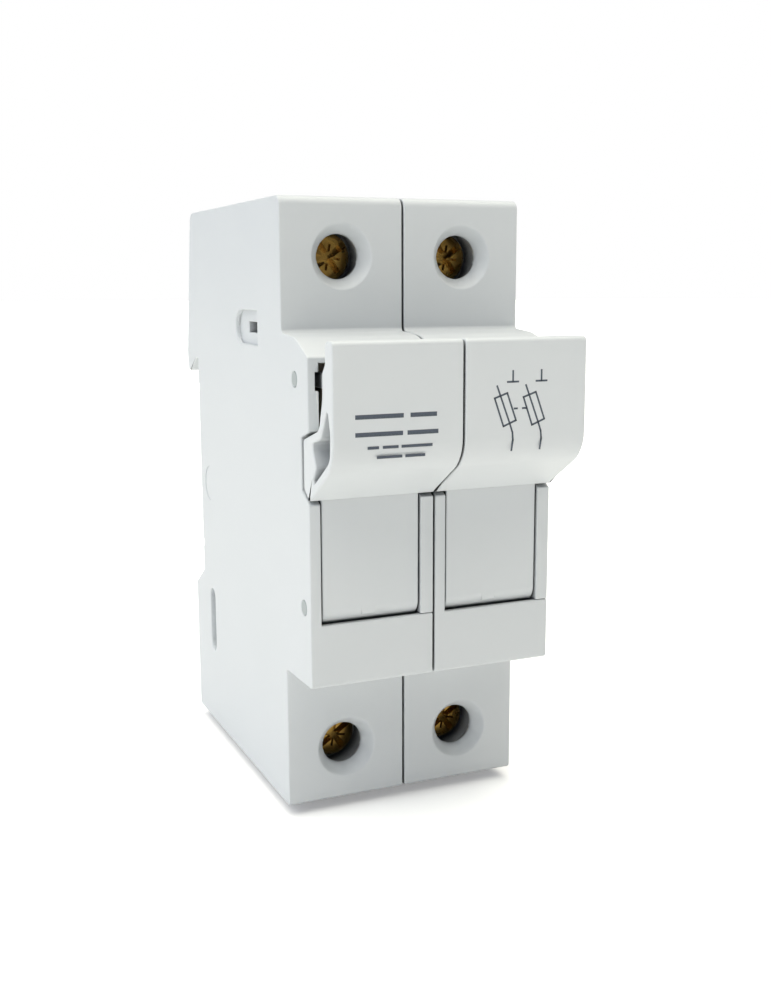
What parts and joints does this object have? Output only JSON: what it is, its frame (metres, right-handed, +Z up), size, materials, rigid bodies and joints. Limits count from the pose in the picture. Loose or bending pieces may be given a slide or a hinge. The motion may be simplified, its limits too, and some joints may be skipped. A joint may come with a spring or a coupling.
{
  "type": "cartridge fuse holder",
  "caption": "DIN-rail cartridge fuse holder with hinged carriers tied by their handles, screw clamp terminals and sprung rail clips.",
  "frame": {"origin": "middle of the face that sits on the rail, midway between the two poles", "axes": "+Z up along the poles, -Y towards the handles at the front, +X across the poles to the right as seen from the front"},
  "size_m": [0.0354, 0.0676, 0.0853],
  "materials": {
    "housing_plastic": "satin",
    "carrier_plastic": "satin",
    "clip_plastic": "satin",
    "pin_plastic": "satin",
    "fuse_ceramic": "satin",
    "fuse_cap_metal": "polished",
    "fuse_strip": "satin",
    "contact_copper": "satin",
    "spring_steel": "satin",
    "zinc_steel": "satin",
    "screw_brass": "satin"
  },
  "bodies": {
    "housing": {"shell_left": "housing_plastic", "lid_left": "housing_plastic", "shell_right": "housing_plastic", "lid_right": "housing_plastic", "jaw_upper_left": "contact_copper", "jaw_spring_upper_left": "spring_steel", "jaw_lower_left": "contact_copper", "jaw_spring_lower_left": "spring_steel", "clip_spring_left": "spring_steel", "jaw_upper_right": "contact_copper", "jaw_spring_upper_right": "spring_steel", "jaw_lower_right": "contact_copper", "jaw_spring_lower_right": "spring_steel", "clip_spring_right": "spring_steel", "pivot_pins": "pin_plastic", "stop_pins": "pin_plastic", "gang_clip": "housing_plastic", "gang_key": "housing_plastic"},
    "fuse_carriers": {"carrier_left": "carrier_plastic", "carrier_right": "carrier_plastic", "handle_tie": "carrier_plastic", "fuse_tube_left": "fuse_ceramic", "fuse_caps_left": "fuse_cap_metal", "fuse_element_left": "fuse_strip", "fuse_tube_right": "fuse_ceramic", "fuse_caps_right": "fuse_cap_metal", "fuse_element_right": "fuse_strip"},
    "upper_left_screw": {"screw_upper_left": "screw_brass"},
    "upper_left_cage": {"cage_upper_left": "zinc_steel"},
    "upper_right_screw": {"screw_upper_right": "screw_brass"},
    "upper_right_cage": {"cage_upper_right": "zinc_steel"},
    "lower_left_screw": {"screw_lower_left": "screw_brass"},
    "lower_left_cage": {"cage_lower_left": "zinc_steel"},
    "lower_right_screw": {"screw_lower_right": "screw_brass"},
    "lower_right_cage": {"cage_lower_right": "zinc_steel"},
    "left_rail_clip": {"rail_clip_left": "clip_plastic"},
    "right_rail_clip": {"rail_clip_right": "clip_plastic"}
  },
  "joints": [
    {"name": "carrier_hinge", "type": "hinge", "parent": "housing", "child": "fuse_carriers", "pos_m": [0, -0.0498, -0.01225], "axis": [1, 0, 0], "range_deg": [0, 75]},
    {"name": "upper_left_cage_travel", "type": "slide", "parent": "housing", "child": "upper_left_cage", "axis": [0, -1, 0], "range_m": [0, 0.0056]},
    {"name": "upper_left_screw_turn", "type": "hinge", "parent": "housing", "child": "upper_left_screw", "pos_m": [-0.0089, -0.035, 0.0331], "axis": [0, 1, 0], "range_deg": [0, 2520]},
    {"name": "upper_right_cage_travel", "type": "slide", "parent": "housing", "child": "upper_right_cage", "axis": [0, -1, 0], "range_m": [0, 0.0056]},
    {"name": "upper_right_screw_turn", "type": "hinge", "parent": "housing", "child": "upper_right_screw", "pos_m": [0.0089, -0.035, 0.0331], "axis": [0, 1, 0], "range_deg": [0, 2520]},
    {"name": "lower_left_cage_travel", "type": "slide", "parent": "housing", "child": "lower_left_cage", "axis": [0, -1, 0], "range_m": [0, 0.0056]},
    {"name": "lower_left_screw_turn", "type": "hinge", "parent": "housing", "child": "lower_left_screw", "pos_m": [-0.0089, -0.035, -0.0354], "axis": [0, 1, 0], "range_deg": [0, 2520]},
    {"name": "lower_right_cage_travel", "type": "slide", "parent": "housing", "child": "lower_right_cage", "axis": [0, -1, 0], "range_m": [0, 0.0056]},
    {"name": "lower_right_screw_turn", "type": "hinge", "parent": "housing", "child": "lower_right_screw", "pos_m": [0.0089, -0.035, -0.0354], "axis": [0, 1, 0], "range_deg": [0, 2520]},
    {"name": "left_clip_pull", "type": "slide", "parent": "housing", "child": "left_rail_clip", "axis": [0, 0, -1], "range_m": [0, 0.0035], "stiffness_N_per_m": 800, "springref_m": -0.003, "deforming": ["clip_spring_left"]},
    {"name": "right_clip_pull", "type": "slide", "parent": "housing", "child": "right_rail_clip", "axis": [0, 0, -1], "range_m": [0, 0.0035], "stiffness_N_per_m": 800, "springref_m": -0.003, "deforming": ["clip_spring_right"]}
  ],
  "couplings": [
    {"joint": "upper_left_screw_turn", "follows": "upper_left_cage_travel", "rad_per_m": 7853.9},
    {"joint": "upper_right_screw_turn", "follows": "upper_right_cage_travel", "rad_per_m": 7853.9},
    {"joint": "lower_left_screw_turn", "follows": "lower_left_cage_travel", "rad_per_m": 7853.9},
    {"joint": "lower_right_screw_turn", "follows": "lower_right_cage_travel", "rad_per_m": 7853.9}
  ]
}
